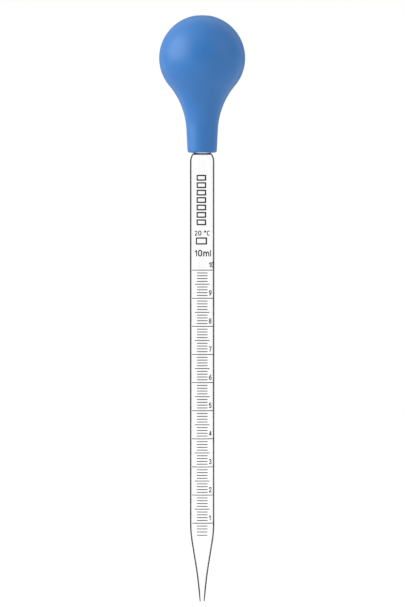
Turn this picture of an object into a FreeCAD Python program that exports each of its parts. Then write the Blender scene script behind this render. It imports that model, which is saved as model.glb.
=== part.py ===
import FreeCAD, Part
import Sketcher
import math
import os

from FreeCAD import Placement, Rotation, Vector

# A graduated dropping pipette for 10 ml: one drawn glass tube with a fired enamel scale, and a
# hollow moulded rubber bulb pushed over the tube's narrowed neck. Millimetres and degrees.
#
# The origin is the centre of the tip's orifice. +Z runs up the tube to the bulb, and the
# scale faces -Y.

UP = Vector(0, 0, 1)
ORIGIN = Vector(0, 0, 0)

SIZES = (
    # The glass tube's outside, from the tip up.
    ("tip_radius", 1.17),
    ("tip_rounding", 0.3),
    ("draw_height", 12.7),
    ("draw_radius", 2.53),
    ("draw_rounding", 150.0),
    ("cone_top_height", 32.47),
    ("cone_top_rounding", 49.5),
    ("barrel_radius", 5.75),
    ("shoulder_height", 208.8),
    ("shoulder_rounding", 6.0),
    ("shoulder_top_radius", 4.75),
    ("shoulder_top_height", 211.25),
    ("shoulder_top_rounding", 0.9),
    ("neck_start_height", 211.85),
    ("neck_start_rounding", 0.4),
    ("neck_radius", 3.9),
    ("neck_top_height", 226.3),
    ("neck_rim_rounding", 0.35),
    # The glass tube's bore.
    ("orifice_radius", 0.45),
    ("orifice_rounding", 0.15),
    ("bore_draw_radius", 1.43),
    ("bore_cone_top_height", 34.0),
    ("bore_radius", 4.9),
    ("bore_shoulder_height", 208.65),
    ("bore_shoulder_rounding", 5.0),
    ("bore_shoulder_top_radius", 4.05),
    ("bore_shoulder_top_height", 210.75),
    ("bore_shoulder_top_rounding", 0.6),
    ("bore_neck_start_height", 211.35),
    ("bore_neck_rounding", 0.8),
    ("neck_bore_radius", 3.05),
    # The rubber bulb. Its socket is slightly wider than the neck it slides on.
    ("bulb_centre_height", 256.6),
    ("bulb_radius", 20.2),
    ("bulb_root_radius", 15.08),
    ("bulb_sweep_radius", 35.0),
    ("bulb_taper", 2.94),
    ("mouth_radius", 6.76),
    ("mouth_height", 211.95),
    ("mouth_rounding", 0.8),
    ("socket_rounding", 0.45),
    ("socket_radius", 3.95),
    ("chamber_radius", 18.3),
    ("chamber_sweep_radius", 20.0),
    # The scale: heights of its first line and of each millilitre, and the lines themselves.
    ("first_line_height", 37.04),
    ("millilitre_height", 13.2575),
    ("enamel", 0.05),
    ("line_width", 0.38),
    ("whole_line_right", 63.0),
    ("whole_line_left", 54.5),
    ("half_line_reach", 37.0),
    ("tenth_line_reach", 26.2),
    # The lettering and the blank panels, which stand above the scale.
    ("stroke_share", 0.21),
    ("numeral_tall", 2.15),
    ("numeral_lift", 1.45),
    ("numeral_start_angle", 35.5),
    ("capacity_tall", 2.6),
    ("capacity_height", 163.05),
    ("capacity_angle", 4.2),
    ("temperature_tall", 2.0),
    ("temperature_height", 172.8),
    ("panel_angle", -4.0),
    ("class_panel_height", 168.4),
    ("class_panel_wide", 5.4),
    ("class_panel_tall", 3.4),
    ("name_field_base", 177.5),
    ("name_field_wide", 4.6),
    ("name_box_pitch", 3.5),
    ("name_box_tall", 2.8),
    ("frame_width", 0.65),
)

WHOLE_LINES = 10
NAME_BOXES = 7
TENTHS_BELOW_FIRST_LINE = (0.9, 0.8, 0.7, 0.6)
MILLILITRE_VOLUME = 1000.0
VOLUME_TOLERANCE = 0.01

# How far a blank that cuts another shape reaches past it.
SPARE = 1.0

doc = FreeCAD.newDocument("GraduatedPipette")


# ---------------------------------------------------------------- spreadsheet

sheet = doc.addObject("Spreadsheet::Sheet", "Sizes")
for row, (alias, number) in enumerate(SIZES, start=1):
    sheet.set("A%d" % row, alias)
    sheet.set("B%d" % row, str(number))
    sheet.setAlias("B%d" % row, alias)
doc.recompute()


def size(expression):
    """The number that an expression of the sheet's aliases has now."""
    result = sheet.evalExpression(expression)
    return float(getattr(result, "Value", result))


def cell(alias):
    """An alias as an expression that other objects can be bound to."""
    return "Sizes." + alias


# ------------------------------------------------------------------- sketches

ORIGIN_POINT = (-1, 1)
HORIZONTAL_AXIS = -1
VERTICAL_AXIS = -2
START = 1
END = 2
CENTRE = 3


def add_body(label):
    body = doc.addObject("PartDesign::Body", label)
    body.Label = label
    return body


def add_sketch(body, name):
    """A sketch on the body's XZ plane: its x is a radius and its y is a height."""
    sketch = body.newObject("Sketcher::SketchObject", name)
    planes = {feature.Role: feature for feature in body.Origin.OriginFeatures}
    sketch.AttachmentSupport = [(planes["XZ_Plane"], "")]
    sketch.MapMode = "FlatFace"
    return sketch


def bind(sketch, kind, places, expression, name):
    """Adds a dimension constraint and binds it to the sheet."""
    index = sketch.addConstraint(Sketcher.Constraint(kind, *places, size(expression)))
    sketch.renameConstraint(index, name)
    sketch.setExpression("Constraints." + name, expression)


def bind_point(sketch, place, radius, height, name):
    """Holds a point at a radius and a height. A zero puts it on that axis."""
    if size(radius) == 0:
        sketch.addConstraint(Sketcher.Constraint("PointOnObject", *place, VERTICAL_AXIS))
    else:
        bind(sketch, "DistanceX", ORIGIN_POINT + place, radius, name + "_radius")
    if size(height) == 0:
        sketch.addConstraint(Sketcher.Constraint("PointOnObject", *place, HORIZONTAL_AXIS))
    else:
        bind(sketch, "DistanceY", ORIGIN_POINT + place, height, name + "_height")


def draw_rounded_outline(sketch, corners):
    """A closed outline of straight lines through corners, each rounded or left sharp.

    A corner is (radius, height, rounding), all expressions. Rounding None is a sharp corner.
    """
    count = len(corners)
    points = [Vector(size(x), size(z), 0) for x, z, rounding in corners]
    ways = [(points[(i + 1) % count] - points[i]).normalize() for i in range(count)]
    turns = [ways[i - 1].getAngle(ways[i]) for i in range(count)]
    roundings = [0.0 if c[2] is None else size(c[2]) for c in corners]
    cuts = [roundings[i] * math.tan(turns[i] / 2) for i in range(count)]

    marks = [sketch.addGeometry(Part.Point(point), True) for point in points]
    lines = []
    for i in range(count):
        start = points[i] + ways[i] * cuts[i]
        end = points[(i + 1) % count] - ways[i] * cuts[(i + 1) % count]
        lines.append(sketch.addGeometry(Part.LineSegment(start, end), False))

    ties = []
    for i in range(count):
        before, after = lines[i - 1], lines[i]
        if corners[i][2] is None:
            ties.append(Sketcher.Constraint("Coincident", before, END, marks[i], START))
            ties.append(Sketcher.Constraint("Coincident", after, START, marks[i], START))
            continue
        first = points[i] - ways[i - 1] * cuts[i]
        last = points[i] + ways[i] * cuts[i]
        bisector = (ways[i] - ways[i - 1]).normalize()
        depth = roundings[i] * (1 / math.cos(turns[i] / 2) - 1)
        curve = Part.Arc(first, points[i] + bisector * depth, last)
        arc = sketch.addGeometry(curve, False)
        left_turn = ways[i - 1].cross(ways[i]).z > 0
        near, far = (START, END) if left_turn else (END, START)
        ties.append(Sketcher.Constraint("Tangent", before, END, arc, near))
        ties.append(Sketcher.Constraint("Tangent", after, START, arc, far))
        ties.append(Sketcher.Constraint("PointOnObject", marks[i], START, before))
        ties.append(Sketcher.Constraint("PointOnObject", marks[i], START, after))
        bind(sketch, "Radius", (arc,), corners[i][2], "corner_%d_rounding" % i)
    sketch.addConstraint(ties)
    for i in range(count):
        bind_point(sketch, (marks[i], START), corners[i][0], corners[i][1], "corner_%d" % i)


def revolve(body, sketch, name):
    """Turns a sketch right round the tube's axis."""
    feature = body.newObject("PartDesign::Revolution", name)
    feature.Profile = sketch
    feature.ReferenceAxis = (sketch, ["V_Axis"])
    feature.Angle = 360
    return feature


# ----------------------------------------------------------------- glass tube


def make_glass_tube():
    """The wall's section in one outline: up the outside, over the rim and down the bore."""
    body = add_body("glass_tube")
    section = add_sketch(body, "glass_section")
    names = (
        ("tip_radius", None, "tip_rounding"),
        ("draw_radius", "draw_height", "draw_rounding"),
        ("barrel_radius", "cone_top_height", "cone_top_rounding"),
        ("barrel_radius", "shoulder_height", "shoulder_rounding"),
        ("shoulder_top_radius", "shoulder_top_height", "shoulder_top_rounding"),
        ("neck_radius", "neck_start_height", "neck_start_rounding"),
        ("neck_radius", "neck_top_height", "neck_rim_rounding"),
        ("neck_bore_radius", "neck_top_height", "neck_rim_rounding"),
        ("neck_bore_radius", "bore_neck_start_height", "bore_neck_rounding"),
        ("bore_shoulder_top_radius", "bore_shoulder_top_height", "bore_shoulder_top_rounding"),
        ("bore_radius", "bore_shoulder_height", "bore_shoulder_rounding"),
        ("bore_radius", "bore_cone_top_height", "cone_top_rounding"),
        ("bore_draw_radius", "draw_height", "draw_rounding"),
        ("orifice_radius", None, "orifice_rounding"),
    )
    corners = [
        (cell(radius), cell(height) if height else "0", cell(rounding))
        for radius, height, rounding in names
    ]
    draw_rounded_outline(section, corners)
    revolve(body, section, "drawn_tube")
    return body


# ---------------------------------------------------------------- rubber bulb


NEAR = 1e-4


def round_mouth(body, base, name, radius, rounding):
    """Rounds the circular edge that lies in the mouth's face at one radius."""
    height = size(cell("mouth_height"))
    edges = []
    for number, edge in enumerate(base.Shape.Edges, start=1):
        box = edge.BoundBox
        flat = abs(box.ZMin - height) < NEAR and abs(box.ZMax - height) < NEAR
        if flat and abs(box.XMax - size(cell(radius))) < NEAR:
            edges.append("Edge%d" % number)
    fillet = body.newObject("PartDesign::Fillet", name)
    fillet.Base = (base, edges)
    fillet.Radius = size(cell(rounding))
    fillet.setExpression("Radius", cell(rounding))
    doc.recompute()
    return fillet


def draw_bulb_outside(sketch):
    """Half of the bulb's outline: the ball, the sweep below it and the tapered collar."""
    centre = Vector(0, size(cell("bulb_centre_height")), 0)
    ball = size(cell("bulb_radius"))
    sweep = size(cell("bulb_sweep_radius"))
    taper = math.radians(size(cell("bulb_taper")))
    root_x = size(cell("bulb_root_radius"))
    root = Vector(root_x, centre.y - math.sqrt(ball**2 - root_x**2), 0)
    mouth = Vector(size(cell("mouth_radius")), size(cell("mouth_height")), 0)
    top = centre + Vector(0, ball, 0)
    foot = Vector(0, mouth.y, 0)

    # The sweep's centre is one sweep radius outside the collar's line and from the root.
    along = Vector(math.sin(taper), math.cos(taper), 0)
    outward = Vector(math.cos(taper), -math.sin(taper), 0)
    reach = root - mouth
    aside = sweep - reach.dot(outward)
    rise = reach.dot(along) - math.sqrt(sweep**2 - aside**2)
    sweep_centre = mouth + along * rise + outward * sweep
    leave = mouth + along * rise

    axis = Vector(0, 0, 1)
    root_angle = math.atan2(root.y - centre.y, root.x)
    ball_curve = Part.ArcOfCircle(Part.Circle(centre, axis, ball), root_angle, math.pi / 2)
    start = math.atan2(root.y - sweep_centre.y, root.x - sweep_centre.x)
    end = math.atan2(leave.y - sweep_centre.y, leave.x - sweep_centre.x)
    sweep_curve = Part.ArcOfCircle(
        Part.Circle(sweep_centre, axis, sweep), start, end + 2 * math.pi
    )
    spine = sketch.addGeometry(Part.LineSegment(foot, top), False)
    dome = sketch.addGeometry(ball_curve, False)
    flare = sketch.addGeometry(sweep_curve, False)
    collar = sketch.addGeometry(Part.LineSegment(leave, mouth), False)
    lip = sketch.addGeometry(Part.LineSegment(mouth, foot), False)
    sketch.addConstraint(
        [
            Sketcher.Constraint("Coincident", spine, END, dome, END),
            Sketcher.Constraint("Coincident", dome, START, flare, START),
            Sketcher.Constraint("Tangent", flare, END, collar, START),
            Sketcher.Constraint("Coincident", collar, END, lip, START),
            Sketcher.Constraint("Coincident", lip, END, spine, START),
            Sketcher.Constraint("PointOnObject", spine, START, VERTICAL_AXIS),
            Sketcher.Constraint("PointOnObject", spine, END, VERTICAL_AXIS),
            Sketcher.Constraint("Horizontal", lip),
        ]
    )
    bind_point(sketch, (dome, CENTRE), "0", cell("bulb_centre_height"), "ball_centre")
    bind(sketch, "Radius", (dome,), cell("bulb_radius"), "ball")
    bind(sketch, "Radius", (flare,), cell("bulb_sweep_radius"), "sweep")
    root_place = ORIGIN_POINT + (dome, START)
    bind(sketch, "DistanceX", root_place, cell("bulb_root_radius"), "root_radius")
    bind_point(sketch, (lip, START), cell("mouth_radius"), cell("mouth_height"), "mouth")
    slope = cell("bulb_taper")
    index = sketch.addConstraint(
        Sketcher.Constraint("Angle", collar, END, spine, START, math.radians(size(slope)))
    )
    sketch.renameConstraint(index, "taper")
    sketch.setExpression("Constraints.taper", slope)


def draw_bulb_inside(sketch):
    """Half of the hollow: the air chamber, its throat and the straight socket below."""
    centre = Vector(0, size(cell("bulb_centre_height")), 0)
    chamber = size(cell("chamber_radius"))
    sweep = size(cell("chamber_sweep_radius"))
    socket = size(cell("socket_radius"))
    top = centre + Vector(0, chamber, 0)
    foot = Vector(0, size(cell("mouth_height")), 0)
    mouth = Vector(socket, foot.y, 0)

    # The throat's arc touches both the chamber's ball and the socket's wall.
    aside = socket + sweep
    drop = math.sqrt((chamber + sweep) ** 2 - aside**2)
    sweep_centre = Vector(aside, centre.y - drop, 0)
    leave = Vector(socket, sweep_centre.y, 0)
    root = centre + (sweep_centre - centre).normalize() * chamber

    axis = Vector(0, 0, 1)
    root_angle = math.atan2(root.y - centre.y, root.x)
    ball_curve = Part.ArcOfCircle(Part.Circle(centre, axis, chamber), root_angle, math.pi / 2)
    sweep_curve = Part.ArcOfCircle(
        Part.Circle(sweep_centre, axis, sweep), root_angle + math.pi, math.pi
    )
    spine = sketch.addGeometry(Part.LineSegment(foot, top), False)
    dome = sketch.addGeometry(ball_curve, False)
    throat = sketch.addGeometry(sweep_curve, False)
    wall = sketch.addGeometry(Part.LineSegment(leave, mouth), False)
    lip = sketch.addGeometry(Part.LineSegment(mouth, foot), False)
    sketch.addConstraint(
        [
            Sketcher.Constraint("Coincident", spine, END, dome, END),
            Sketcher.Constraint("Tangent", dome, START, throat, START),
            Sketcher.Constraint("Tangent", throat, END, wall, START),
            Sketcher.Constraint("Coincident", wall, END, lip, START),
            Sketcher.Constraint("Coincident", lip, END, spine, START),
            Sketcher.Constraint("PointOnObject", spine, START, VERTICAL_AXIS),
            Sketcher.Constraint("PointOnObject", spine, END, VERTICAL_AXIS),
            Sketcher.Constraint("Horizontal", lip),
            Sketcher.Constraint("Vertical", wall),
        ]
    )
    bind_point(sketch, (dome, CENTRE), "0", cell("bulb_centre_height"), "chamber_centre")
    bind(sketch, "Radius", (dome,), cell("chamber_radius"), "chamber")
    bind(sketch, "Radius", (throat,), cell("chamber_sweep_radius"), "throat")
    bind_point(sketch, (lip, START), cell("socket_radius"), cell("mouth_height"), "socket")


def make_rubber_bulb():
    """A solid turned from its outside, hollowed from below, with a rounded mouth."""
    body = add_body("rubber_bulb")
    outside = add_sketch(body, "bulb_outside")
    draw_bulb_outside(outside)
    revolve(body, outside, "bulb_solid")
    inside = add_sketch(body, "bulb_inside")
    draw_bulb_inside(inside)
    hollow = body.newObject("PartDesign::Groove", "bulb_hollow")
    hollow.Profile = inside
    hollow.ReferenceAxis = (inside, ["V_Axis"])
    hollow.Angle = 360
    doc.recompute()

    outer_lip = round_mouth(body, hollow, "outer_lip", "mouth_radius", "mouth_rounding")
    body.Tip = round_mouth(body, outer_lip, "inner_lip", "socket_radius", "socket_rounding")
    return body


# ---------------------------------------------------------------- scale lines

FACING = Rotation(UP, -90)


def make_lines(label, first_height, right, left, patterns):
    """One raised enamel line round the front of the barrel, repeated up the tube.

    The line is drawn on the XZ plane and its body is turned to face -Y, so it sweeps right
    by one angle and left by another. Patterns are (length, occurrences) expressions.
    """
    body = add_body(label)
    section = add_sketch(body, label + "_section")
    inner = cell("barrel_radius")
    outer = inner + " + " + cell("enamel")
    low = "(%s) - %s / 2" % (first_height, cell("line_width"))
    high = "(%s) + %s / 2" % (first_height, cell("line_width"))
    corners = [(inner, low, None), (outer, low, None), (outer, high, None), (inner, high, None)]
    draw_rounded_outline(section, corners)
    line = body.newObject("PartDesign::Revolution", label + "_line")
    line.Profile = section
    line.ReferenceAxis = (section, ["V_Axis"])
    line.Type = "TwoAngles"
    line.Angle = size(right)
    line.setExpression("Angle", right)
    line.Angle2 = size(left)
    line.setExpression("Angle2", left)

    repeat = body.newObject("PartDesign::MultiTransform", label + "_repeat")
    repeat.Originals = [line]
    steps = []
    for number, (length, occurrences) in enumerate(patterns):
        step = body.newObject("PartDesign::LinearPattern", "%s_step_%d" % (label, number))
        step.Direction = (section, ["V_Axis"])
        step.Length = size(length)
        step.setExpression("Length", length)
        step.Occurrences = occurrences
        steps.append(step)
    repeat.Transformations = steps
    body.Tip = repeat
    body.Placement = Placement(ORIGIN, FACING)
    return body


def outside_radius(height):
    """The glass's outer radius where its cone rounds into the barrel."""
    corner = Vector(size(cell("barrel_radius")), size(cell("cone_top_height")), 0)
    draw = Vector(size(cell("draw_radius")), size(cell("draw_height")), 0)
    rounding = size(cell("cone_top_rounding"))
    slope = math.atan2(corner.x - draw.x, corner.y - draw.y)
    arc_top = corner.y + rounding * math.tan(slope / 2)
    drop = max(arc_top - height, 0)
    return corner.x - rounding + math.sqrt(rounding**2 - drop**2)


def bore_below(glass, height):
    """The liquid that the bore holds from the orifice up to a height, as a solid."""
    block = Part.makeCylinder(size(cell("barrel_radius")) + SPARE, height)
    parts = block.cut(glass.Shape).Solids
    return min(parts, key=lambda solid: solid.BoundBox.XLength)


HALVINGS = 12


def height_holding(glass, volume):
    """The height up to which the tip holds a volume, found by halving an interval."""
    high = size(cell("first_line_height"))
    low = high / 2
    for halving in range(HALVINGS):
        middle = (low + high) / 2
        if bore_below(glass, middle).Volume < volume:
            low = middle
        else:
            high = middle
    return (low + high) / 2


def make_low_tenths(glass):
    """The tenths below the first whole line, which lean in with the tapering glass."""
    half = size(cell("line_width")) / 2
    enamel = size(cell("enamel"))
    reach = size(cell("tenth_line_reach"))
    strips = []
    for tenths in TENTHS_BELOW_FIRST_LINE:
        height = height_holding(glass, tenths * MILLILITRE_VOLUME)
        low, high = height - half, height + half
        section = Part.makePolygon(
            [
                Vector(outside_radius(low), 0, low),
                Vector(outside_radius(low) + enamel, 0, low),
                Vector(outside_radius(high) + enamel, 0, high),
                Vector(outside_radius(high), 0, high),
                Vector(outside_radius(low), 0, low),
            ]
        )
        strip = Part.Face(section).revolve(ORIGIN, UP, 2 * reach)
        strip.rotate(ORIGIN, UP, -reach - 90)
        strips.append(strip)
    feature = doc.addObject("Part::Feature", "low_tenths")
    feature.Shape = Part.makeCompound(strips)
    return feature


# ------------------------------------------------------------------ lettering

# Plain stroke letters, one unit tall along the middle of the pen's line. Each is its width
# and its strokes, and a stroke is a run of edges that meet end to end: four numbers are a
# straight line from (x, z) to (x, z), and five are an arc about (x, z) with a radius and its
# start and end angles, in degrees.
LETTERS = {
    "0": (
        0.56,
        (
            ((0.28, 0.72, 0.28, 180, 0), (0.56, 0.72, 0.56, 0.28)),
            ((0.28, 0.28, 0.28, 0, -180), (0, 0.28, 0, 0.72)),
        ),
    ),
    "1": (0.28, (((0.04, 0.76, 0.28, 1), (0.28, 1, 0.28, 0)),)),
    "2": (
        0.56,
        (
            ((0.28, 0.72, 0.28, 168, -36),),
            ((0.507, 0.555, 0, 0), (0, 0, 0.56, 0)),
        ),
    ),
    "3": (0.54, (((0.27, 0.76, 0.24, 155, -90),), ((0.27, 0.26, 0.26, 90, -150),))),
    "4": (0.6, (((0.45, 0, 0.45, 1),), ((0.45, 1, 0, 0.3), (0, 0.3, 0.6, 0.3)))),
    "5": (
        0.58,
        (
            ((0.54, 1, 0.1, 1), (0.1, 1, 0.05, 0.5)),
            ((0.28, 0.3, 0.3, 139, -145),),
        ),
    ),
    "6": (
        0.58,
        (
            ((0.29, 0.29, 0.29, 180, 0),),
            ((0.29, 0.29, 0.29, 0, -180),),
            ((0.75, 0.29, 0.75, 180, 108),),
        ),
    ),
    "7": (0.56, (((0, 1, 0.56, 1), (0.56, 1, 0.18, 0)),)),
    "8": (
        0.54,
        (
            ((0.27, 0.765, 0.235, 180, 0),),
            ((0.27, 0.765, 0.235, 0, -180),),
            ((0.27, 0.265, 0.265, 180, 0),),
            ((0.27, 0.265, 0.265, 0, -180),),
        ),
    ),
    "9": (
        0.58,
        (
            ((0.29, 0.71, 0.29, 180, 0),),
            ((0.29, 0.71, 0.29, 0, -180),),
            ((-0.17, 0.71, 0.75, 0, -72),),
        ),
    ),
    "m": (
        0.96,
        (
            ((0, 0, 0, 0.7),),
            ((0.24, 0.46, 0.24, 180, 0), (0.48, 0.46, 0.48, 0)),
            ((0.72, 0.46, 0.24, 180, 0), (0.96, 0.46, 0.96, 0)),
        ),
    ),
    "l": (0, (((0, 0, 0, 1),),)),
    "°": (0.28, (((0.14, 0.86, 0.14, 180, 0),), ((0.14, 0.86, 0.14, 0, -180),))),
    "C": (
        0.56,
        (((0.3, 0.7, 0.3, 40, 180), (0, 0.7, 0, 0.3), (0.3, 0.3, 0.3, 180, 320)),),
    ),
    " ": (0.05, ()),
}
LETTER_GAP = 0.4


def pen_edge(numbers, tall):
    """A straight line or an arc of a letter, at the letter's real height."""
    if len(numbers) == 4:
        x1, z1, x2, z2 = numbers
        return Part.makeLine(Vector(x1, 0, z1) * tall, Vector(x2, 0, z2) * tall)
    x, z, radius, start, end = numbers
    places = []
    for angle in (start, (start + end) / 2, end):
        turned = math.radians(angle)
        offset = Vector(math.cos(turned), 0, math.sin(turned)) * radius
        places.append((Vector(x, 0, z) + offset) * tall)
    return Part.Arc(*places).toShape()


def pen_stroke(stroke, tall):
    """The flat face that a round pen leaves along a stroke."""
    half = size(cell("stroke_share")) * tall / 2
    edges = [pen_edge(numbers, tall) for numbers in stroke]
    if len(stroke) > 1 or len(stroke[0]) > 4:
        return Part.Face(Part.Wire(edges).makeOffset2D(half))
    start, end = edges[0].firstVertex().Point, edges[0].lastVertex().Point
    along = (end - start).normalize() * half
    aside = Vector(-along.z, 0, along.x)
    outline = [
        Part.makeLine(start + aside, end + aside),
        Part.Arc(end + aside, end + along, end - aside).toShape(),
        Part.makeLine(end - aside, start - aside),
        Part.Arc(start - aside, start - along, start + aside).toShape(),
    ]
    return Part.Face(Part.Wire(outline))


def rectangle(wide, tall, inset):
    """A flat upright rectangle, centred on x = 0 and standing on z = 0, less an inset."""
    left, right = inset - wide / 2, wide / 2 - inset
    low, high = inset, tall - inset
    places = [(left, low), (right, low), (right, high), (left, high), (left, low)]
    return Part.Face(Part.makePolygon([Vector(x, 0, z) for x, z in places]))


def frame_face(wide, tall):
    return rectangle(wide, tall, 0).cut(rectangle(wide, tall, size(cell("frame_width"))))


def press_on_barrel(faces, angle, height, skin):
    """The part of the enamel layer that flat faces cover, turned to its place."""
    front = size(cell("barrel_radius")) + SPARE
    bars = []
    for face in faces:
        moved = face.copy()
        moved.translate(Vector(0, -front, height))
        bars.append(moved.extrude(Vector(0, front / 2, 0)))
    blank = bars[0].multiFuse(bars[1:]) if len(bars) > 1 else bars[0]
    printed = blank.common(skin).removeSplitter()
    printed.rotate(ORIGIN, UP, angle)
    return printed.Solids


def text_length(text, tall):
    gaps = LETTER_GAP * (len(text) - 1)
    return tall * (sum(LETTERS[letter][0] for letter in text) + gaps)


def write_text(text, tall, start_angle, height, skin):
    """Letters side by side round the barrel, from an angle to the right of the front."""
    radius = size(cell("barrel_radius"))
    travelled = 0.0
    solids = []
    for letter in text:
        width, strokes = LETTERS[letter]
        if strokes:
            faces = [pen_stroke(stroke, tall) for stroke in strokes]
            for face in faces:
                face.translate(Vector(-width * tall / 2, 0, 0))
            middle = travelled + width * tall / 2
            angle = start_angle + math.degrees(middle / radius)
            solids += press_on_barrel(faces, angle, height, skin)
        travelled += (width + LETTER_GAP) * tall
    return solids


def write_centred(text, tall, middle_angle, height, skin):
    half_turn = math.degrees(text_length(text, tall) / size(cell("barrel_radius"))) / 2
    return write_text(text, tall, middle_angle - half_turn, height, skin)


def make_print(label, solids):
    feature = doc.addObject("Part::Feature", label)
    feature.Label = label
    feature.Shape = Part.makeCompound(solids)
    feature.Placement = Placement()
    return feature


def make_skin():
    """The enamel layer round the whole barrel, from which the lettering is cut."""
    inner = size(cell("barrel_radius"))
    base = size(cell("first_line_height"))
    tall = size(cell("shoulder_height")) - base - size(cell("shoulder_rounding"))
    outer_part = Part.makeCylinder(inner + size(cell("enamel")), tall, Vector(0, 0, base))
    return outer_part.cut(Part.makeCylinder(inner, tall, Vector(0, 0, base)))


def make_numerals(skin):
    """The whole millilitres, each standing just above its line."""
    solids = []
    for millilitre in range(1, WHOLE_LINES + 1):
        height = (
            size(cell("first_line_height"))
            + (millilitre - 1) * size(cell("millilitre_height"))
            + size(cell("numeral_lift"))
        )
        solids += write_text(
            str(millilitre),
            size(cell("numeral_tall")),
            size(cell("numeral_start_angle")),
            height,
            skin,
        )
    return make_print("scale_numerals", solids)


def make_name_field(skin):
    """A row of blank boxes up the tube, where a sample's name can be written."""
    solids = []
    for number in range(NAME_BOXES):
        height = size(cell("name_field_base")) + number * size(cell("name_box_pitch"))
        box = frame_face(size(cell("name_field_wide")), size(cell("name_box_tall")))
        solids += press_on_barrel([box], size(cell("panel_angle")), height, skin)
    return make_print("name_field", solids)


# ------------------------------------------------------------------- assembly

glass_tube = make_glass_tube()
rubber_bulb = make_rubber_bulb()
doc.recompute()

first = cell("first_line_height")
pitch = cell("millilitre_height")
whole_lines = make_lines(
    "millilitre_lines",
    first,
    cell("whole_line_right"),
    cell("whole_line_left"),
    [("%d * %s" % (WHOLE_LINES - 1, pitch), WHOLE_LINES)],
)
half_lines = make_lines(
    "half_millilitre_lines",
    "%s + 0.5 * %s" % (first, pitch),
    cell("half_line_reach"),
    cell("half_line_reach"),
    [("%d * %s" % (WHOLE_LINES - 2, pitch), WHOLE_LINES - 1)],
)
upper_tenths = make_lines(
    "upper_tenths",
    "%s + 0.1 * %s" % (first, pitch),
    cell("tenth_line_reach"),
    cell("tenth_line_reach"),
    [
        ("0.3 * " + pitch, 4),
        ("0.5 * " + pitch, 2),
        ("%d * %s" % (WHOLE_LINES - 2, pitch), WHOLE_LINES - 1),
    ],
)
doc.recompute()
tenth_lines = doc.addObject("Part::Compound", "tenth_millilitre_lines")
tenth_lines.Label = "tenth_millilitre_lines"
tenth_lines.Links = [upper_tenths, make_low_tenths(glass_tube)]

skin = make_skin()
capacity_print = make_print(
    "capacity_print",
    write_centred(
        "10ml",
        size(cell("capacity_tall")),
        size(cell("capacity_angle")),
        size(cell("capacity_height")),
        skin,
    ),
)
temperature_print = make_print(
    "temperature_print",
    write_centred(
        "20 °C", size(cell("temperature_tall")), 0, size(cell("temperature_height")), skin
    ),
)
class_panel = make_print(
    "class_panel",
    press_on_barrel(
        [frame_face(size(cell("class_panel_wide")), size(cell("class_panel_tall")))],
        size(cell("panel_angle")),
        size(cell("class_panel_height")),
        skin,
    ),
)
doc.recompute()

sub_parts = (
    glass_tube,
    rubber_bulb,
    whole_lines,
    half_lines,
    tenth_lines,
    make_numerals(skin),
    capacity_print,
    temperature_print,
    class_panel,
    make_name_field(skin),
)
doc.recompute()

# --------------------------------------------------------------------- checks

for item in doc.Objects:
    if "Invalid" in item.State or "Error" in item.State:
        raise SystemExit("%s did not recompute: %s" % (item.Name, item.State))
for part in sub_parts:
    if part.Shape.isNull() or not part.Shape.isValid():
        raise SystemExit("%s has no valid shape" % part.Label)

first_volume = bore_below(glass_tube, size(first)).Volume
pitch_volume = math.pi * size(cell("bore_radius")) ** 2 * size(pitch)
for volume in (first_volume, pitch_volume):
    if abs(volume / MILLILITRE_VOLUME - 1) > VOLUME_TOLERANCE:
        raise SystemExit("a marked millilitre holds %.1f cubic millimetres" % volume)

# --------------------------------------------------------------------- export

os.makedirs("parts", exist_ok=True)
for part in sub_parts:
    part.Shape.exportStep("parts/%s.step" % part.Label)
    print("%s: %d solids, %.2f mm3" % (part.Label, len(part.Shape.Solids), part.Shape.Volume))
print("first millilitre %.1f mm3, each other %.1f mm3" % (first_volume, pitch_volume))
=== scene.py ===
import math

import bmesh
import bpy
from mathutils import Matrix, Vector


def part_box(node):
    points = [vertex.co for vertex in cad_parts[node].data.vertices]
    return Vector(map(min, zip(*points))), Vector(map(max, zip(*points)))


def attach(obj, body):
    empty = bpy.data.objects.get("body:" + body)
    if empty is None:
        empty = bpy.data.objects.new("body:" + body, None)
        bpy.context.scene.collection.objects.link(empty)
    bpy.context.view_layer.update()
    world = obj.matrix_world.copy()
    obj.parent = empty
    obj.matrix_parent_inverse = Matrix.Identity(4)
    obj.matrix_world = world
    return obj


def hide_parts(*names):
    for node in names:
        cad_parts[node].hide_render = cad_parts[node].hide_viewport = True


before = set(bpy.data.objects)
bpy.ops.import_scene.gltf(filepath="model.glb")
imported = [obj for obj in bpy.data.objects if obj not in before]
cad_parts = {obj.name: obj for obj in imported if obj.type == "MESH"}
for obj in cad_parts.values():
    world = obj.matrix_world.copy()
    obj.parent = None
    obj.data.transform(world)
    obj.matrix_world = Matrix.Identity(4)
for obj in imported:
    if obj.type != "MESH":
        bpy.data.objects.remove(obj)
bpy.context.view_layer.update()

MM = 0.001

# ------------------------------------------------------------- sizes, in metres

TUBE_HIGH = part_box("glass_tube")[1]
BULB_LOW, BULB_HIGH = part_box("rubber_bulb")
BARREL_RADIUS = TUBE_HIGH.x
NECK_TOP = TUBE_HIGH.z
MOUTH_HEIGHT = BULB_LOW.z
BULB_RADIUS = BULB_HIGH.x
BULB_CENTRE = BULB_HIGH.z - BULB_RADIUS

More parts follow.
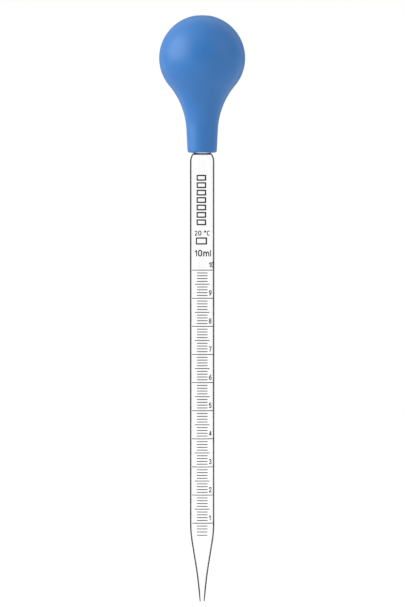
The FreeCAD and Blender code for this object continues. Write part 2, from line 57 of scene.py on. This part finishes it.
# The drawn tube, each corner as (radius, height, rounding). The order is up the outside,
# over the neck's rim and down the bore.
TUBE_OUTSIDE = (
    (1.17 * MM, 0.0, 0.3 * MM),
    (2.53 * MM, 12.7 * MM, 150 * MM),
    (BARREL_RADIUS, 32.47 * MM, 49.5 * MM),
    (BARREL_RADIUS, 208.8 * MM, 6.0 * MM),
    (4.75 * MM, 211.25 * MM, 0.9 * MM),
    (3.9 * MM, 211.85 * MM, 0.4 * MM),
    (3.9 * MM, NECK_TOP, 0.4 * MM),
)
TUBE_INSIDE = (
    (3.05 * MM, NECK_TOP, 0.4 * MM),
    (3.05 * MM, 211.35 * MM, 0.8 * MM),
    (4.05 * MM, 210.75 * MM, 0.6 * MM),
    (4.9 * MM, 208.65 * MM, 5.0 * MM),
    (4.9 * MM, 34.0 * MM, 49.5 * MM),
    (1.43 * MM, 12.7 * MM, 150 * MM),
    (0.45 * MM, 0.0, 0.15 * MM),
)
TUBE_SEGMENTS = 144

# The thick root of the neck, between these heights, is hazy and has a painted bluish tint. The
# bore and the ring at the neck's end have no painted dark line. A face is the bore's if its
# normal's outward part is below
# BORE_FACING.
NECK_ROOT = (211.0 * MM, 212.35 * MM)
END_RING = 0.3 * MM
BORE_FACING = -0.2

# The rubber bulb. The numbers of steps are those along each arc of its outline.
ROOT_RADIUS = 15.08 * MM
SWEEP_RADIUS = 35.0 * MM
COLLAR_TAPER = math.radians(2.94)
MOUTH_RADIUS = 6.76 * MM
MOUTH_ROUNDING = 0.8 * MM
SOCKET_RADIUS = 3.95 * MM
SOCKET_ROUNDING = 0.45 * MM
CHAMBER_RADIUS = 18.3 * MM
CHAMBER_SWEEP = 20.0 * MM
BULB_SEGMENTS = 128
DOME_STEPS = 34
SWEEP_STEPS = 16
THROAT_STEPS = 12
CHAMBER_STEPS = 24

# The faint seam that the mould's two halves leave on the bulb, in the XZ plane. Each place
# across it is a share of its width and a share of its height.
SEAM_WIDTH = 0.8 * MM
SEAM_HEIGHT = 0.13 * MM
SEAM_WIDEST_ANGLE = math.radians(22.5)
SEAM_PROFILE = (
    (-0.8, 0.0),
    (-0.5, 0.0),
    (-0.2, 0.75),
    (0.0, 1.0),
    (0.2, 0.75),
    (0.5, 0.0),
    (0.8, 0.0),
)

# The round mark of the mould's gate at the top of the bulb.
GATE_RADIUS = 1.9 * MM
GATE_DEPTH = 0.28 * MM
GATE_NIB_RADIUS = 0.6 * MM
GATE_NIB_TOP = 0.42 * MM
GATE_NIB_HEIGHT = 0.16 * MM
GATE_RIM_EASE = GATE_DEPTH / 3
GATE_RIM_DROP = GATE_DEPTH / 4

# How finely a rounded corner is divided, in degrees, and where a long straight run gets its
# extra rings.
CORNER_STEP = 9
FEWEST_CORNER_STEPS = 4
LONG_RUN = 8 * MM
SUPPORT_MARGIN = 0.25 * MM

# A point of an outline nearer to the axis than this is a pole.
POLE_RADIUS = 1e-7

# The camera sees the whole pipette from in front, level and from far off. The view's centre
# is its (x, z).
CAMERA_DISTANCE = 2.5
CAMERA_CLIP = (0.1, 50.0)
VIEW_HEIGHT = 0.28675
VIEW_CENTRE = (0.00016, 0.14063)
SENSOR_WIDTH = 36.0

# The floor lies a little below the tip.
FLOOR_RADIUS = 4.0
FLOOR_SEGMENTS = 96
FLOOR_DROP = 0.05 * MM

# ---------------------------------------------------------------------- looks

# Noise scales are in features per metre, and most of a noise's values lie in this range.
NOISE_RANGE = (0.3, 0.7)

RUBBER_BLUES = ((0.0345, 0.199, 0.56), (0.0395, 0.213, 0.593))
RUBBER_CLOUDS = 90.0
RUBBER_POLISH = 400.0
RUBBER_ROUGHNESS = (0.32, 0.39)
RUBBER_GRAIN = 2500.0
GRAIN_STRENGTH = 0.12
GRAIN_DEPTH = 0.03 * MM

# From this value of Layer Weight's Facing the rubber grows duller, and at 1 its roughness is
# this much higher.
GRAZING_START = 0.6
GRAZING_ROUGHNESS = 0.35

ENAMEL_BLACKS = ((0.009, 0.007, 0.005), (0.02, 0.015, 0.011))
ENAMEL_SPOTS = 1200.0
ENAMEL_SPOT_RANGE = (0.35, 0.75)
ENAMEL_ROUGHNESS = (0.3, 0.5)
ENAMEL_SPECULAR = 0.35

GLASS_IOR = 1.47

# The share of the light that gets through one surface of the glass to what it shades.
GLASS_SHADOW = (0.96, 0.98, 0.98)

# The painted shade along the outline of the glass. It is a dark line painted into the glass's
# colour by the angle of view, and it stands in for the dark surroundings that the tube's walls
# show at their edges. It takes no more than a share of a narrow tube's radius. Its colours stand
# at the outline and at a share of its width inside.
RIM_WIDTH = 0.87 * MM
RIM_LARGEST_SHARE = 0.5
PAINTED_SHADE_AT_EDGE = (0.02, 0.022, 0.022)
PAINTED_SHADE_INSIDE = (0.06, 0.062, 0.06)
PAINTED_SHADE_INSIDE_SHARE = 0.55

# The least level part of the line of sight that the painted dark line is worked out for.
LEAST_LEVEL = 0.02

# The haze of the neck's root, and a painted bluish tint on it that stands in for the blue bulb's
# colour and shade seen in the thick glass. The tint and the dullness each grow to the full over a
# share of the root's height, and fade over the same share.
PAINTED_BULB_TINT = (0.82, 0.87, 0.94)
PAINTED_BULB_TINT_FADE = 0.3
HAZE_ROUGHNESS = 0.4
HAZE_ROUGHNESS_FADE = 0.4

# The floor's own grey, and how much brighter it is to the camera than the light makes it.
FLOOR_GREY = 0.85
FLOOR_LIFT = 0.27

# The studio's light, as an even part and broad lobes. Each lobe has the direction it comes
# from, the cosines to that direction at which it starts and is full, and its strength.
LIGHT_BASE = 0.28
LIGHT_LOBES = (
    ((-0.93, -0.28, 0.28), 0.75, 0.95, 2.48),
    ((-0.75, -0.3, 0.6), 0.6, 0.95, 0.36),
    ((0.82, -0.51, 0.24), 0.82, 0.96, 0.51),
    ((0.95, -0.2, 0.15), 0.5, 0.95, 0.12),
    ((0.0, 0.0, 1.0), 0.3, 0.95, 0.37),
    ((0.0, 1.0, 0.0), 0.0, 0.8, 0.285),
)


# ------------------------------------------------------------------- outlines


def arc(centre, radius, start, end, steps):
    """Points along an arc, by angles in radians from +r towards +z."""
    places = []
    for step in range(steps + 1):
        angle = start + (end - start) * step / steps
        places.append(centre + Vector((math.cos(angle), math.sin(angle))) * radius)
    return places


def rounded_corner(before, here, after, rounding):
    """Points along the arc that rounds the corner between two straight runs."""
    back = (before - here).normalized()
    onward = (after - here).normalized()
    turn = math.pi - back.angle(onward)
    centre = here + (back + onward).normalized() * (rounding / math.cos(turn / 2))
    first = here + back * (rounding * math.tan(turn / 2)) - centre
    start = math.atan2(first.y, first.x)
    side = 1 if back.cross(onward) < 0 else -1
    steps = max(FEWEST_CORNER_STEPS, math.ceil(math.degrees(turn) / CORNER_STEP))
    return arc(centre, rounding, start, start + side * turn, steps)


def rounded_outline(corners):
    """The points of a closed outline, from its corners as (radius, height, rounding)."""
    points = [Vector((radius, height)) for radius, height, rounding in corners]
    roundings = [rounding for radius, height, rounding in corners]
    befores = points[-1:] + points[:-1]
    afters = points[1:] + points[:1]
    outline = []
    for before, here, after, rounding in zip(befores, points, afters, roundings):
        outline += rounded_corner(before, here, after, rounding)
    return outline


def with_support(outline):
    """Adds a ring close to each end of a long straight run, so that its shading stays flat."""
    result = []
    for here, there in zip(outline, outline[1:] + outline[:1]):
        result.append(here)
        run = there - here
        if run.length > LONG_RUN:
            result.append(here + run.normalized() * SUPPORT_MARGIN)
            result.append(there - run.normalized() * SUPPORT_MARGIN)
    return result


def outline_normals(outline):
    """The direction to the right of an outline's run at each point."""
    normals = []
    last = len(outline) - 1
    for i in range(len(outline)):
        run = outline[min(i + 1, last)] - outline[max(i - 1, 0)]
        normals.append(Vector((run.y, -run.x)).normalized())
    return normals


# --------------------------------------------------------------------- meshes


def even_ring(segments):
    """The (angle, lift) of places spread evenly round a ring, none lifted off the outline."""
    return [(2 * math.pi * k / segments, 0.0) for k in range(segments)]


def lathe(name, outline, ring_places, material, closed=True):
    """Turns an outline of (radius, height) points about the Z axis. Poles are single points.

    The outline has the wall on its left: it runs up the outside and down the inside.
    ring_places holds, for each of its points, the (angle, lift) of the vertices round it.
    """
    mesh = bmesh.new()
    rings = []
    for point, normal, places in zip(outline, outline_normals(outline), ring_places):
        if point.x < POLE_RADIUS:
            rings.append([mesh.verts.new((0, 0, point.y))])
            continue
        ring = []
        for angle, lift in places:
            spot = point + normal * lift
            place = (spot.x * math.cos(angle), spot.x * math.sin(angle), spot.y)
            ring.append(mesh.verts.new(place))
        rings.append(ring)
    followers = rings[1:] + rings[:1] if closed else rings[1:]
    for lower, upper in zip(rings, followers):
        join_rings(mesh, lower, upper)
    return finish_mesh(name, mesh, material)


def join_rings(mesh, lower, upper):
    """Adds the faces between two rings, either of which may be a pole."""
    segments = max(len(lower), len(upper))
    for k in range(segments):
        after = (k + 1) % segments
        if len(lower) == 1:
            mesh.faces.new((lower[0], upper[after], upper[k]))
        elif len(upper) == 1:
            mesh.faces.new((lower[k], lower[after], upper[0]))
        else:
            mesh.faces.new((lower[k], lower[after], upper[after], upper[k]))


def finish_mesh(name, mesh, material):
    bmesh.ops.recalc_face_normals(mesh, faces=mesh.faces)
    data = bpy.data.meshes.new(name)
    mesh.to_mesh(data)
    mesh.free()
    data.materials.append(material)
    data.shade_smooth()
    piece = bpy.data.objects.new(name, data)
    bpy.context.scene.collection.objects.link(piece)
    return piece


# ---------------------------------------------------------------------- nodes


class Nodes:
    """The node tree of a material or a world, with short calls to add and link nodes.

    Where a call takes a source, that is another node's output.
    """

    def __init__(self, owner, output):
        owner.use_nodes = True
        self.owner = owner
        self.tree = owner.node_tree
        self.tree.nodes.clear()
        self.output = self.add(output)

    def add(self, kind, **settings):
        node = self.tree.nodes.new(kind)
        for key, value in settings.items():
            setattr(node, key, value)
        return node

    def link(self, source, target):
        self.tree.links.new(source, target)

    def noise(self, scale, detail, roughness=0.5):
        """A noise's value, by the place on the object."""
        texture = self.add("ShaderNodeTexNoise")
        texture.inputs["Scale"].default_value = scale
        texture.inputs["Detail"].default_value = detail
        texture.inputs["Roughness"].default_value = roughness
        self.link(self.place(), texture.inputs["Vector"])
        return texture.outputs["Fac"]

    def place(self):
        """The place on the object, in its own coordinates."""
        return self.add("ShaderNodeTexCoord").outputs["Object"]

    def ramp(self, source, stops):
        """A colour by a value; each stop is (position, colour)."""
        stops = list(stops)
        node = self.add("ShaderNodeValToRGB")
        elements = node.color_ramp.elements
        while len(elements) < len(stops):
            elements.new(1.0)
        for element, (position, colour) in zip(elements, stops):
            element.position = position
            element.color = (*colour, 1)
        self.link(source, node.inputs["Fac"])
        return node.outputs["Color"]

    def between(self, source, old_range, new_range, interpolation="LINEAR"):
        """A value moved from one range to another, and kept inside it."""
        node = self.add("ShaderNodeMapRange", interpolation_type=interpolation)
        for name, limit in zip(("From Min", "From Max"), old_range):
            node.inputs[name].default_value = limit
        for name, limit in zip(("To Min", "To Max"), new_range):
            node.inputs[name].default_value = limit
        self.link(source, node.inputs["Value"])
        return node.outputs["Result"]

    def calculate(self, operation, first, second=None):
        """A Math node's result; each input is a number or a source."""
        node = self.add("ShaderNodeMath", operation=operation)
        for socket, value in zip(node.inputs, (first, second)):
            if isinstance(value, float):
                socket.default_value = value
            elif value is not None:
                self.link(value, socket)
        return node.outputs["Value"]

    def mix(self, share, first, second):
        """A shader that goes from the first to the second as the share goes from 0 to 1."""
        node = self.add("ShaderNodeMixShader")
        self.link(share, node.inputs["Fac"])
        self.link(first, node.inputs[1])
        self.link(second, node.inputs[2])
        return node.outputs["Shader"]


def material_nodes(name):
    return Nodes(bpy.data.materials.new(name), "ShaderNodeOutputMaterial")


def grey(level):
    return (level, level, level)


def seen_directly(nodes):
    """1 for a ray straight from the camera or just through glass, and 0 for any other."""
    ray = nodes.add("ShaderNodeLightPath")
    return nodes.calculate(
        "MAXIMUM", ray.outputs["Is Camera Ray"], ray.outputs["Is Transmission Ray"]
    )


# ------------------------------------------------------------ rubber and enamel


def make_rubber():
    """Satin blue moulded rubber: faint mottling, a fine skin grain and uneven polish.

    It is duller where it is seen at a grazing angle, as rubber with a faint bloom is.
    """
    nodes = material_nodes("blue_rubber")
    shader = nodes.add("ShaderNodeBsdfPrincipled")
    clouds = nodes.noise(RUBBER_CLOUDS, detail=4.0, roughness=0.6)
    colour = nodes.ramp(clouds, zip(NOISE_RANGE, RUBBER_BLUES))
    nodes.link(colour, shader.inputs["Base Color"])
    polish = nodes.noise(RUBBER_POLISH, detail=2.0)
    rough = nodes.between(polish, NOISE_RANGE, RUBBER_ROUGHNESS)
    edge = nodes.add("ShaderNodeLayerWeight")
    duller = nodes.between(edge.outputs["Facing"], (GRAZING_START, 1.0), (0.0, GRAZING_ROUGHNESS))
    nodes.link(nodes.calculate("ADD", rough, duller), shader.inputs["Roughness"])
    grain = nodes.noise(RUBBER_GRAIN, detail=3.0)
    bump = nodes.add("ShaderNodeBump")
    bump.inputs["Strength"].default_value = GRAIN_STRENGTH
    bump.inputs["Distance"].default_value = GRAIN_DEPTH
    nodes.link(grain, bump.inputs["Height"])
    nodes.link(bump.outputs["Normal"], shader.inputs["Normal"])
    nodes.link(shader.outputs["BSDF"], nodes.output.inputs["Surface"])
    return nodes.owner


def make_enamel():
    """Fired black enamel with a slightly uneven gloss and greyer thin spots."""
    nodes = material_nodes("black_enamel")
    shader = nodes.add("ShaderNodeBsdfPrincipled")
    spots = nodes.noise(ENAMEL_SPOTS, detail=2.0)
    colour = nodes.ramp(spots, zip(ENAMEL_SPOT_RANGE, ENAMEL_BLACKS))
    nodes.link(colour, shader.inputs["Base Color"])
    rough = nodes.between(spots, NOISE_RANGE, ENAMEL_ROUGHNESS)
    nodes.link(rough, shader.inputs["Roughness"])
    shader.inputs["Specular IOR Level"].default_value = ENAMEL_SPECULAR
    nodes.link(shader.outputs["BSDF"], nodes.output.inputs["Surface"])
    return nodes.owner


# ---------------------------------------------------------------------- glass


def seen_along(nodes, direction):
    """The cosine between a direction and the line of sight."""
    weight = nodes.add("ShaderNodeLayerWeight")
    nodes.link(direction, weight.inputs["Normal"])
    return nodes.calculate("SUBTRACT", 1.0, weight.outputs["Facing"])


def round_wall(nodes, up):
    """The direction in which a tube about the Z axis runs round at a spot, and its radius."""
    tangent = nodes.add("ShaderNodeVectorMath", operation="CROSS_PRODUCT")
    nodes.link(up, tangent.inputs[0])
    nodes.link(nodes.place(), tangent.inputs[1])
    direction = nodes.add("ShaderNodeVectorMath", operation="NORMALIZE")
    nodes.link(tangent.outputs["Vector"], direction.inputs[0])
    radius = nodes.add("ShaderNodeVectorMath", operation="LENGTH")
    nodes.link(tangent.outputs["Vector"], radius.inputs[0])
    return direction.outputs["Vector"], radius.outputs["Value"]


# The mask of the painted dark rim on the glass.
def wall_rim(nodes):
    """How far a spot of a tube about the Z axis lies inside its outline, 1 being RIM_WIDTH.

    Where the tube is narrow, 1 is RIM_LARGEST_SHARE of its radius.

    Seen along the level, a spot of a tube of radius r lies r * (1 - s) inside, where s is the
    cosine between the line of sight and the tube's wall as it runs round. Seen from higher up,
    that cosine is first divided by the level part of the line of sight.
    """
    upward = nodes.add("ShaderNodeCombineXYZ")
    upward.inputs["Z"].default_value = 1.0
    up = upward.outputs["Vector"]
    direction, radius = round_wall(nodes, up)
    climb = seen_along(nodes, up)
    climb_squared = nodes.calculate("MULTIPLY", climb, climb)
    level = nodes.calculate("SQRT", nodes.calculate("SUBTRACT", 1.0, climb_squared))
    safe_level = nodes.calculate("MAXIMUM", level, LEAST_LEVEL)
    aside = nodes.calculate("DIVIDE", seen_along(nodes, direction), safe_level)
    share = nodes.calculate("SUBTRACT", 1.0, aside)
    inside = nodes.calculate("MULTIPLY", share, radius)
    of_width = nodes.calculate("DIVIDE", inside, RIM_WIDTH)
    of_radius = nodes.calculate("DIVIDE", share, RIM_LARGEST_SHARE)
    return nodes.calculate("MAXIMUM", of_width, of_radius)


def painted_rim_shade(nodes, glass):
    """Paints shade into the glass close to the tube's outline: a dark line that stands in for the
    dark surroundings seen in a wall edge on.
    """
    stops = [(0.0, PAINTED_SHADE_AT_EDGE), (PAINTED_SHADE_INSIDE_SHARE, PAINTED_SHADE_INSIDE), (1.0, grey(1.0))]
    nodes.link(nodes.ramp(wall_rim(nodes), stops), glass.inputs["Color"])


def there_and_back(outer, inner, fade):
    """The stops of a ramp from one colour to another and back, each way over a share of it."""
    return [(0.0, outer), (fade, inner), (1.0 - fade, inner), (1.0, outer)]


def root_haze_and_painted_tint(nodes, glass):
    """Makes the thick root of the neck dull and paints a bluish tint on it, standing in for the
    blue bulb seen in the glass; both go clear again at its edges.
    """
    place = nodes.add("ShaderNodeSeparateXYZ")
    nodes.link(nodes.place(), place.inputs["Vector"])
    rise = nodes.between(place.outputs["Z"], NECK_ROOT, (0.0, 1.0))
    # A painted bluish tint, standing in for the blue bulb seen in the thick glass.
    tint = nodes.ramp(rise, there_and_back(grey(1.0), PAINTED_BULB_TINT, PAINTED_BULB_TINT_FADE))
    nodes.link(tint, glass.inputs["Color"])
    dullness = there_and_back(grey(0.0), grey(HAZE_ROUGHNESS), HAZE_ROUGHNESS_FADE)
    nodes.link(nodes.ramp(rise, dullness), glass.inputs["Roughness"])


def make_glass(name, paint=None):
    """Clear glass that lets the studio's light through. paint may paint shade or a tint into it,
    or dull it.
    """
    nodes = material_nodes(name)
    glass = nodes.add("ShaderNodeBsdfGlass")
    glass.inputs["Color"].default_value = (*grey(1.0), 1)
    glass.inputs["IOR"].default_value = GLASS_IOR
    glass.inputs["Roughness"].default_value = 0.0
    if paint:
        paint(nodes, glass)
    clear = nodes.add("ShaderNodeBsdfTransparent")
    clear.inputs["Color"].default_value = (*GLASS_SHADOW, 1)
    ray = nodes.add("ShaderNodeLightPath")
    surface = nodes.mix(
        ray.outputs["Is Shadow Ray"], glass.outputs["BSDF"], clear.outputs["BSDF"]
    )
    nodes.link(surface, nodes.output.inputs["Surface"])
    return nodes.owner


# --------------------------------------------------------------------- pieces


def make_tube():
    outline = with_support(rounded_outline(TUBE_OUTSIDE + TUBE_INSIDE))
    ring_places = [even_ring(TUBE_SEGMENTS)] * len(outline)
    # The outside of the tube gets painted shade along its outline. The bore gets none, and the
    # neck's root gets a painted bluish tint.
    glass = make_glass("clear_glass", painted_rim_shade)
    piece = lathe("drawn_glass_tube", outline, ring_places, glass)
    piece.data.materials.append(make_glass("bore_glass"))
    piece.data.materials.append(make_glass("neck_root_glass_painted_tint", root_haze_and_painted_tint))
    bore, root = 1, 2
    for face in piece.data.polygons:
        outward = face.center.xy.normalized().dot(face.normal.xy)
        if NECK_ROOT[0] < face.center.z < NECK_ROOT[1]:
            face.material_index = root
        elif outward < BORE_FACING or face.center.z > NECK_TOP - END_RING:
            face.material_index = bore
    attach(piece, "tube")
    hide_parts("glass_tube")


def bulb_outside():
    """Outline from the gate mark's edge down to the collar, and the mouth's corner."""
    centre = Vector((0, BULB_CENTRE))
    gate_angle = math.acos(GATE_RADIUS / BULB_RADIUS)
    root_angle = -math.acos(ROOT_RADIUS / BULB_RADIUS)
    dome = arc(centre, BULB_RADIUS, gate_angle, root_angle, DOME_STEPS)
    root = dome[-1]
    mouth = Vector((MOUTH_RADIUS, MOUTH_HEIGHT))
    along = Vector((math.sin(COLLAR_TAPER), math.cos(COLLAR_TAPER)))
    outward = Vector((math.cos(COLLAR_TAPER), -math.sin(COLLAR_TAPER)))
    reach = root - mouth
    aside = SWEEP_RADIUS - reach.dot(outward)
    rise = reach.dot(along) - math.sqrt(SWEEP_RADIUS**2 - aside**2)
    leave = mouth + along * rise
    sweep_centre = leave + outward * SWEEP_RADIUS
    start = math.atan2(root.y - sweep_centre.y, root.x - sweep_centre.x)
    end = math.atan2(leave.y - sweep_centre.y, leave.x - sweep_centre.x)
    if end < start:
        end += 2 * math.pi
    sweep = arc(sweep_centre, SWEEP_RADIUS, start, end, SWEEP_STEPS)
    return dome[:-1] + sweep, mouth


def bulb_lip(last, mouth):
    """Outline round the mouth's rim, from the collar's last point into the socket."""
    socket = Vector((SOCKET_RADIUS, mouth.y))
    up_socket = socket + Vector((0, 1))
    rim = rounded_corner(last, mouth, socket, MOUTH_ROUNDING)
    return rim + rounded_corner(mouth, socket, up_socket, SOCKET_ROUNDING)


def bulb_inside():
    """Outline from the foot of the throat up to the top of the chamber."""
    centre = Vector((0, BULB_CENTRE))
    aside = SOCKET_RADIUS + CHAMBER_SWEEP
    drop = math.sqrt((CHAMBER_RADIUS + CHAMBER_SWEEP) ** 2 - aside**2)
    sweep_centre = Vector((aside, BULB_CENTRE - drop))
    touch = math.atan2(-drop, aside)
    throat = arc(sweep_centre, CHAMBER_SWEEP, math.pi, touch + math.pi, THROAT_STEPS)
    chamber = arc(centre, CHAMBER_RADIUS, touch, math.pi / 2, CHAMBER_STEPS)
    return throat + chamber[1:]


def gate_mark(edge):
    """Outline of the shallow round mark and its nib, from the pole out to the mark's edge."""
    floor = edge - GATE_DEPTH
    return [
        Vector((0, floor + GATE_NIB_HEIGHT)),
        Vector((GATE_NIB_TOP, floor + GATE_NIB_HEIGHT)),
        Vector((GATE_NIB_RADIUS, floor)),
        Vector((GATE_RADIUS - GATE_DEPTH, floor)),
        Vector((GATE_RADIUS - GATE_RIM_EASE, edge - GATE_RIM_DROP)),
    ]


def seam_ring(radius, share):
    """Places round a ring of the bulb, closer together across the seam.

    The seam is lifted by a share of its height.
    """
    width = min(SEAM_WIDTH / radius, SEAM_WIDEST_ANGLE)
    reach = width * SEAM_PROFILE[-1][0]
    free = BULB_SEGMENTS // 2 - len(SEAM_PROFILE) + 1
    places = []
    for side in (0.0, math.pi):
        for across, up in SEAM_PROFILE[:-1]:
            places.append((side + width * across, SEAM_HEIGHT * share * up))
        for k in range(free):
            places.append((side + reach + (math.pi - 2 * reach) * k / free, 0.0))
    return places


def make_bulb():
    """The bulb, with a seam that runs down from the gate mark and fades round the lip.

    Its outline is worked out from the top down, and then turned round for the lathe.
    """
    outside, mouth = bulb_outside()
    lip = bulb_lip(outside[-1], mouth)
    gate = gate_mark(outside[0].y)
    outline = gate + outside + lip + bulb_inside()
    seam_start = len(gate) + 1
    seam_end = seam_start + len(outside) + len(lip) // 2
    ring_places = []
    for i, point in enumerate(outline):
        share = 0.0
        if seam_start <= i < seam_end:
            share = min(max((point.y - MOUTH_HEIGHT) / MOUTH_ROUNDING, 0.0), 1.0)
        ring_places.append(seam_ring(max(point.x, GATE_NIB_RADIUS), share))
    outline.reverse()
    ring_places.reverse()
    piece = lathe("squeeze_bulb", outline, ring_places, make_rubber(), closed=False)
    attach(piece, "bulb")
    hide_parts("rubber_bulb")


def colour_print(enamel):
    """Gives the enamel to the CAD nodes that stay, which are the print on the glass."""
    for name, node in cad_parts.items():
        if name not in ("glass_tube", "rubber_bulb"):
            node.data.materials.clear()
            node.data.materials.append(enamel)


# ---------------------------------------------------- floor, light and camera


def make_floor_material():
    """A white floor, seen from above only.

    What the camera sees of it is lifted to white, as a lit paper sweep is.
    """
    nodes = material_nodes("pale_floor")
    diffuse = nodes.add("ShaderNodeBsdfDiffuse")
    diffuse.inputs["Color"].default_value = (*grey(FLOOR_GREY), 1)
    glow = nodes.add("ShaderNodeEmission")
    lift = nodes.calculate("MULTIPLY", seen_directly(nodes), FLOOR_LIFT)
    nodes.link(lift, glow.inputs["Strength"])
    both = nodes.add("ShaderNodeAddShader")
    nodes.link(diffuse.outputs["BSDF"], both.inputs[0])
    nodes.link(glow.outputs["Emission"], both.inputs[1])
    clear = nodes.add("ShaderNodeBsdfTransparent")
    below = nodes.add("ShaderNodeNewGeometry")
    surface = nodes.mix(
        below.outputs["Backfacing"], both.outputs["Shader"], clear.outputs["BSDF"]
    )
    nodes.link(surface, nodes.output.inputs["Surface"])
    return nodes.owner


def make_floor():
    bpy.ops.mesh.primitive_circle_add(
        vertices=FLOOR_SEGMENTS, radius=FLOOR_RADIUS, fill_type="NGON"
    )
    floor = bpy.context.object
    floor.name = "floor"
    floor.location.z = -FLOOR_DROP
    floor.data.materials.append(make_floor_material())


def make_world():
    """A studio that looks white, and is brightest at the left.

    Its lobes light the pipette and show in reflections. Seen directly, or through the glass,
    the studio is an even white.
    """
    world = bpy.data.worlds.new("studio")
    bpy.context.scene.world = world
    nodes = Nodes(world, "ShaderNodeOutputWorld")
    towards = nodes.add("ShaderNodeTexCoord").outputs["Generated"]
    strength = LIGHT_BASE
    for direction, low, high, amount in LIGHT_LOBES:
        nearness = nodes.add("ShaderNodeVectorMath", operation="DOT_PRODUCT")
        nearness.inputs[1].default_value = Vector(direction).normalized()
        nodes.link(towards, nearness.inputs[0])
        lobe = nodes.between(nearness.outputs["Value"], (low, high), (0.0, amount), "SMOOTHSTEP")
        strength = nodes.calculate("ADD", lobe, strength)
    light = nodes.add("ShaderNodeBackground")
    light.inputs["Color"].default_value = (*grey(1.0), 1)
    nodes.link(strength, light.inputs["Strength"])
    white = nodes.add("ShaderNodeBackground")
    white.inputs["Color"].default_value = (*grey(1.0), 1)
    surface = nodes.mix(
        seen_directly(nodes), light.outputs["Background"], white.outputs["Background"]
    )
    nodes.link(surface, nodes.output.inputs["Surface"])


def make_camera():
    """The picture is taller than it is wide, so the sensor's width spans its height."""
    data = bpy.data.cameras.new("camera")
    data.sensor_width = SENSOR_WIDTH
    data.lens = SENSOR_WIDTH * CAMERA_DISTANCE / VIEW_HEIGHT
    data.clip_start, data.clip_end = CAMERA_CLIP
    camera = bpy.data.objects.new("camera", data)
    bpy.context.scene.collection.objects.link(camera)
    camera.location = (VIEW_CENTRE[0], -CAMERA_DISTANCE, VIEW_CENTRE[1])
    camera.rotation_euler = (math.pi / 2, 0, 0)
    bpy.context.scene.camera = camera


make_camera()
make_world()
make_floor()
make_tube()
make_bulb()
colour_print(make_enamel())
bpy.context.scene.view_settings.view_transform = "Standard"
